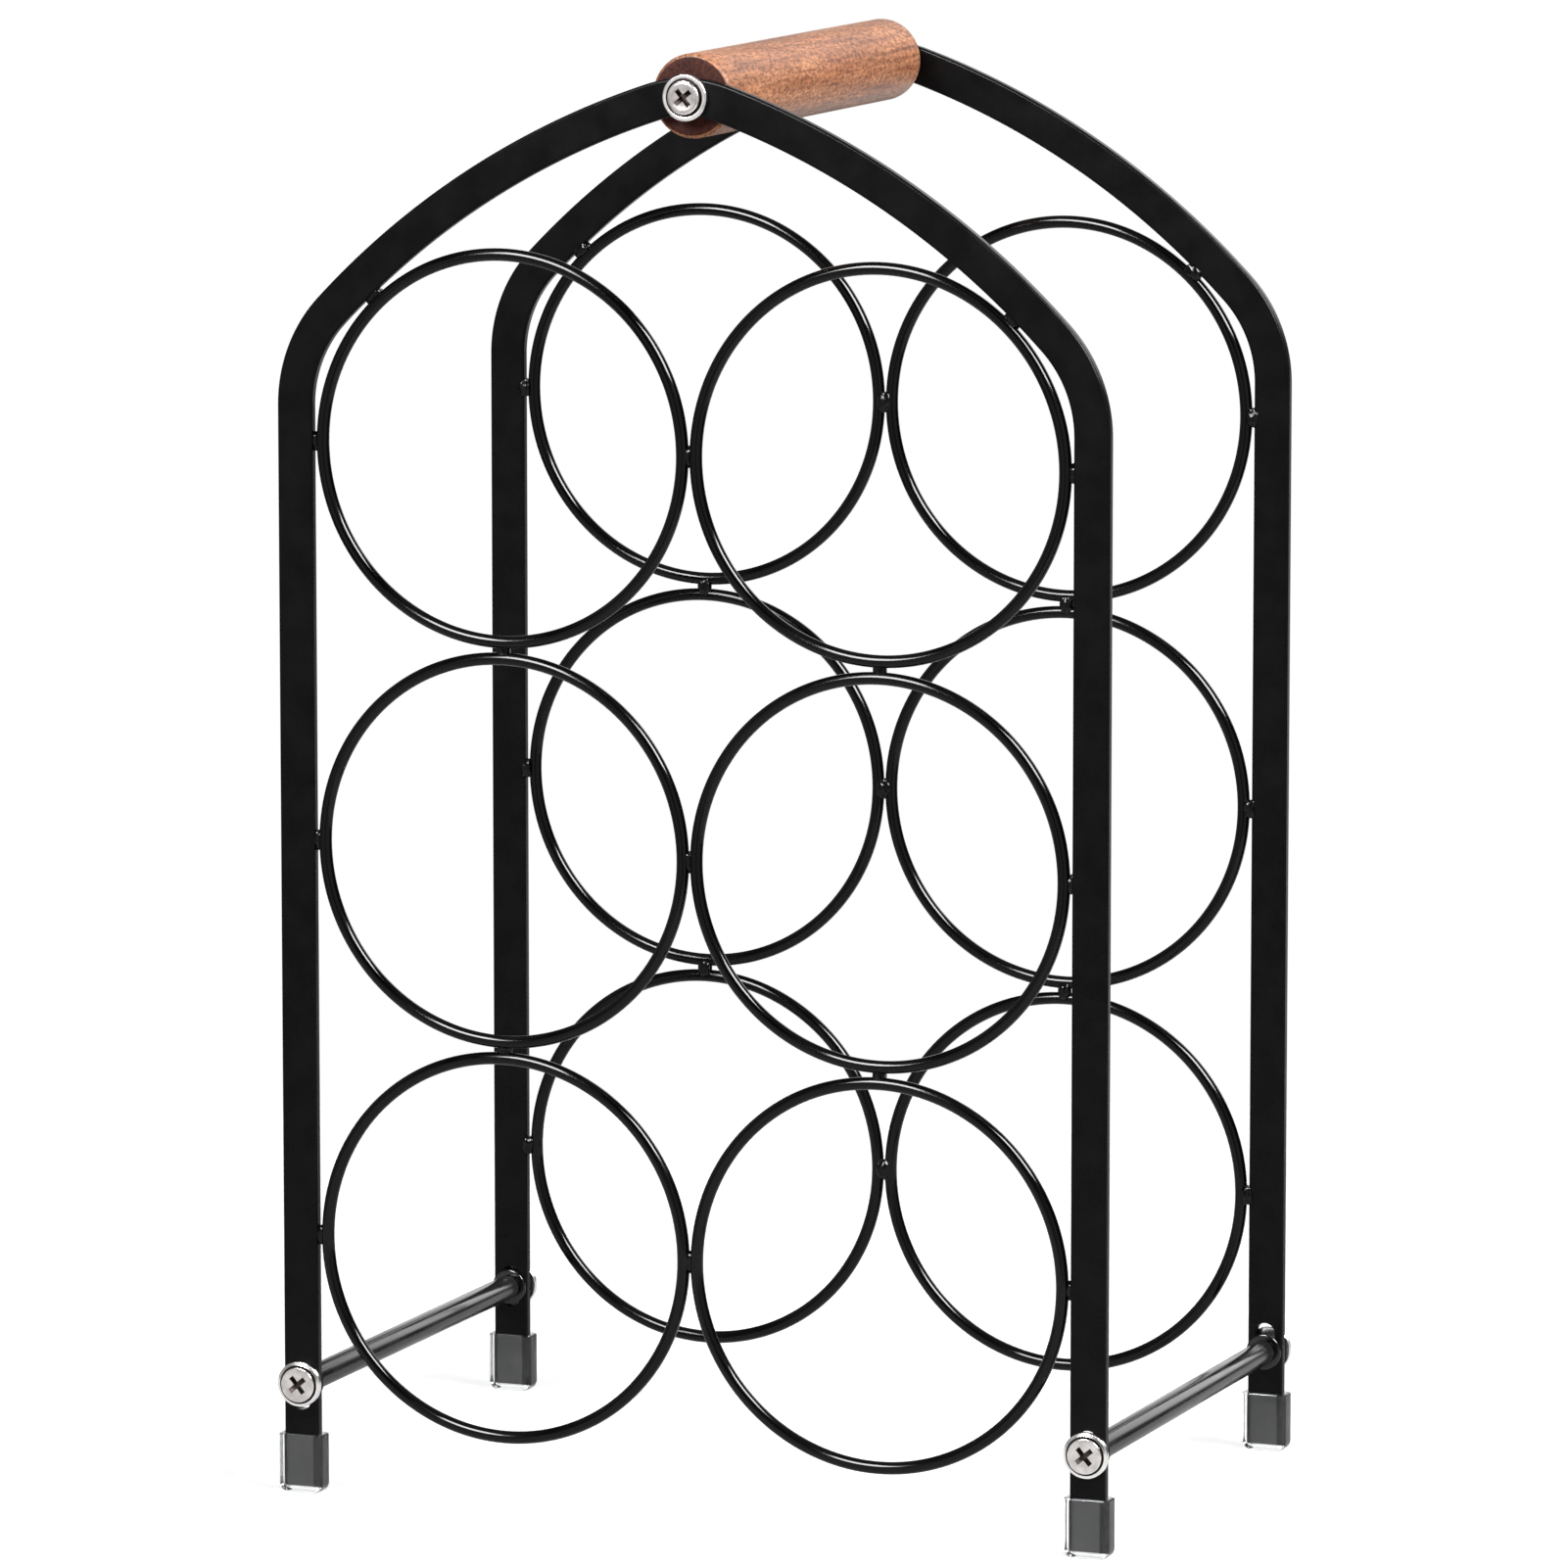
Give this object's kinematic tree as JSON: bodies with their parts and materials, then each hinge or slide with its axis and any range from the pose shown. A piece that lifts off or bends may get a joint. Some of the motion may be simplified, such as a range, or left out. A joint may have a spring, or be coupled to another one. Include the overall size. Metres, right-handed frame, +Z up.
{
  "type": "countertop wine rack",
  "caption": "Tabletop bottle rack: two arched flat-bar frames filled with welded wire rings, joined by two rods and a wooden carrying handle.",
  "frame": {"origin": "on the floor, under the middle of the rack", "axes": "+X to the right as seen from the front, +Y to the back, +Z up"},
  "size_m": [0.2242, 0.1456, 0.3688],
  "materials": {
    "satin_black": "satin powder coat",
    "gloss_black": "gloss coat",
    "rod_grey": "satin",
    "screw_nickel": "bright nickel plate",
    "insert_brass": "plain",
    "handle_wood": "satin varnish",
    "foot_clear": "clear"
  },
  "bodies": {
    "root": {"front_frame_bar": "satin_black", "front_ring_top_left": "gloss_black", "front_ring_top_right": "gloss_black", "front_ring_middle_left": "gloss_black", "front_ring_middle_right": "gloss_black", "front_ring_bottom_left": "gloss_black", "front_ring_bottom_right": "gloss_black", "rear_frame_bar": "satin_black", "rear_ring_top_left": "gloss_black", "rear_ring_top_right": "gloss_black", "rear_ring_middle_left": "gloss_black", "rear_ring_middle_right": "gloss_black", "rear_ring_bottom_left": "gloss_black", "rear_ring_bottom_right": "gloss_black", "carry_handle": "handle_wood", "handle_insert_front": "insert_brass", "handle_screw_front": "screw_nickel", "handle_insert_rear": "insert_brass", "handle_screw_rear": "screw_nickel", "left_crossbar": "rod_grey", "right_crossbar": "rod_grey", "front_left_washer": "satin_black", "front_left_screw": "screw_nickel", "front_left_foot": "foot_clear", "front_right_washer": "satin_black", "front_right_screw": "screw_nickel", "front_right_foot": "foot_clear", "rear_left_washer": "satin_black", "rear_left_screw": "screw_nickel", "rear_left_foot": "foot_clear", "rear_right_washer": "satin_black", "rear_right_screw": "screw_nickel", "rear_right_foot": "foot_clear"}
  },
  "joints": []
}
